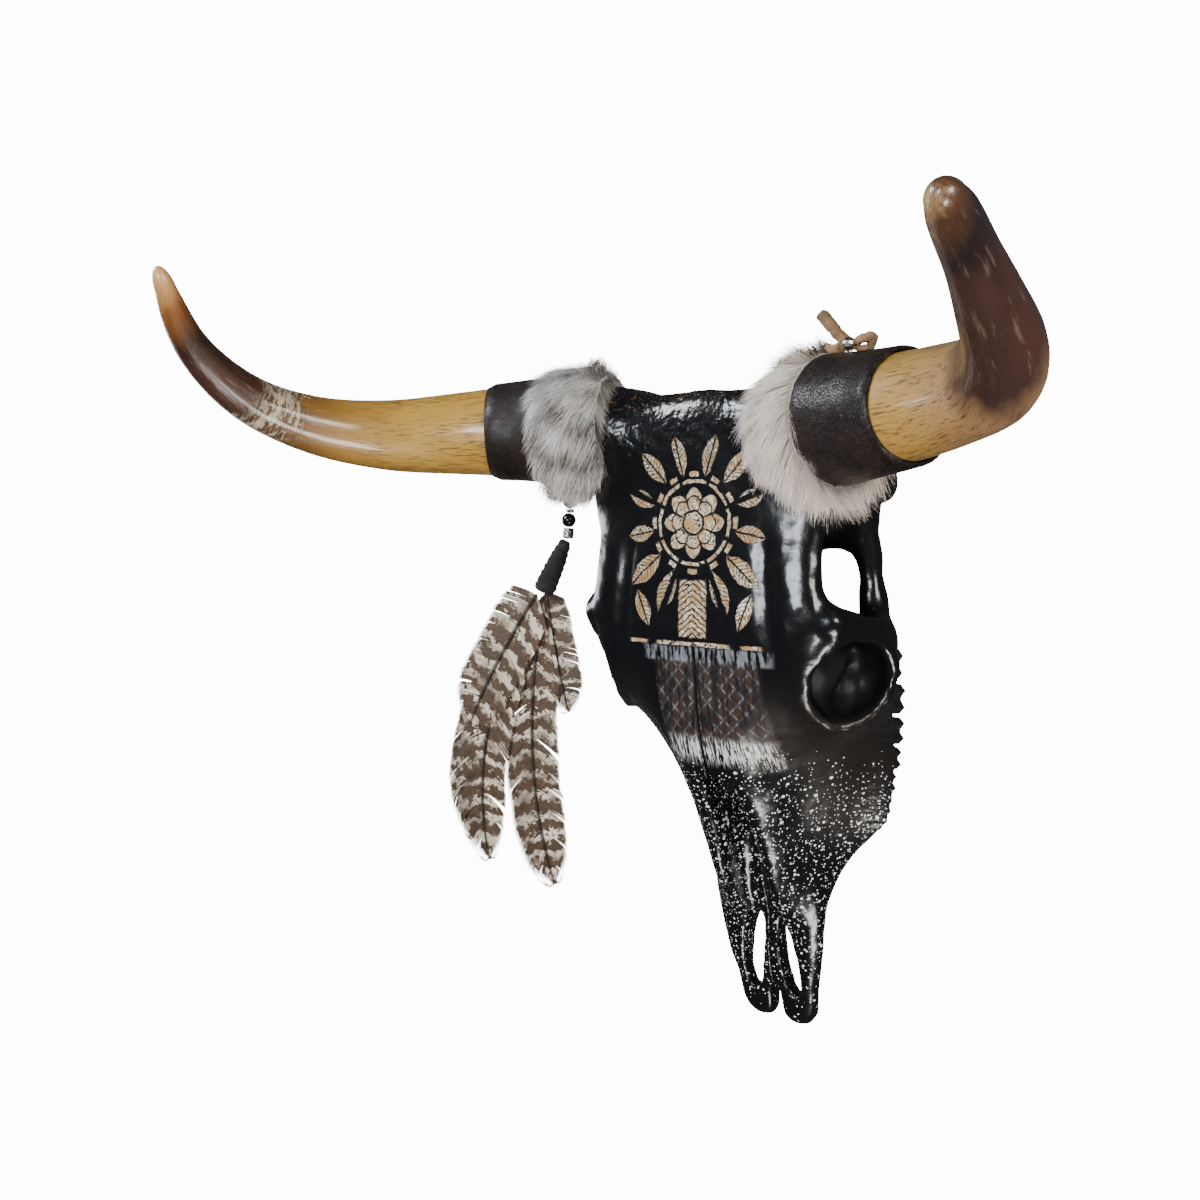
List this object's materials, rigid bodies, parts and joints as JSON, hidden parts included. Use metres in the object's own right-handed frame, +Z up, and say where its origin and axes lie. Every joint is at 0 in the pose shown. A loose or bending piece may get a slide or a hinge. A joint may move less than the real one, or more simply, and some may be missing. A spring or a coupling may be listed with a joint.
{
  "type": "longhorn skull",
  "caption": "Black painted longhorn skull with an engraved forehead, natural horns, leather sleeves, fur collars and a bundle of barred feathers.",
  "frame": {"origin": "under the middle of the whole piece, on the surface that it lies on", "axes": "+X across the skull towards its left horn, -Y towards the nose, +Z up from the surface; the skull lies on its cheek teeth and jugular processes"},
  "size_m": [0.7186, 0.5336, 0.482],
  "materials": {
    "black_painted_bone": "gloss black paint over bone, with a light engraved design on the forehead",
    "horn": "polished natural horn, honey to dark brown",
    "brown_leather": "dark brown smooth leather",
    "grey_fur": "grey and white hair",
    "cream_fur": "cream hair with dark strands",
    "tan_leather": "tan lace",
    "black_leather": "black suede wrap",
    "black_stone": "polished black",
    "old_silver": "worn silver",
    "barred_feather": "brown feather with pale bars"
  },
  "bodies": {
    "root": {"skull": "black_painted_bone", "tooth_left_1": "black_painted_bone", "tooth_left_2": "black_painted_bone", "tooth_left_3": "black_painted_bone", "tooth_left_4": "black_painted_bone", "tooth_left_5": "black_painted_bone", "tooth_left_6": "black_painted_bone", "tooth_right_1": "black_painted_bone", "tooth_right_2": "black_painted_bone", "tooth_right_3": "black_painted_bone", "tooth_right_4": "black_painted_bone", "tooth_right_5": "black_painted_bone", "tooth_right_6": "black_painted_bone", "horn_left": "horn", "leather_sleeve_left": "brown_leather", "horn_right": "horn", "leather_sleeve_right": "brown_leather", "fur_collar_left": "cream_fur", "fur_collar_right": "grey_fur", "hanger_lace": "tan_leather", "bead_upper": "black_stone", "bead_spacer": "old_silver", "bead_lower": "black_stone", "silver_barrel": "old_silver", "quill_wrap": "black_leather", "feather_1": "barred_feather", "feather_2": "barred_feather", "feather_3": "barred_feather", "feather_4": "barred_feather", "feather_5": "barred_feather", "tie_lace": "tan_leather", "tie_bead": "old_silver"}
  },
  "joints": []
}
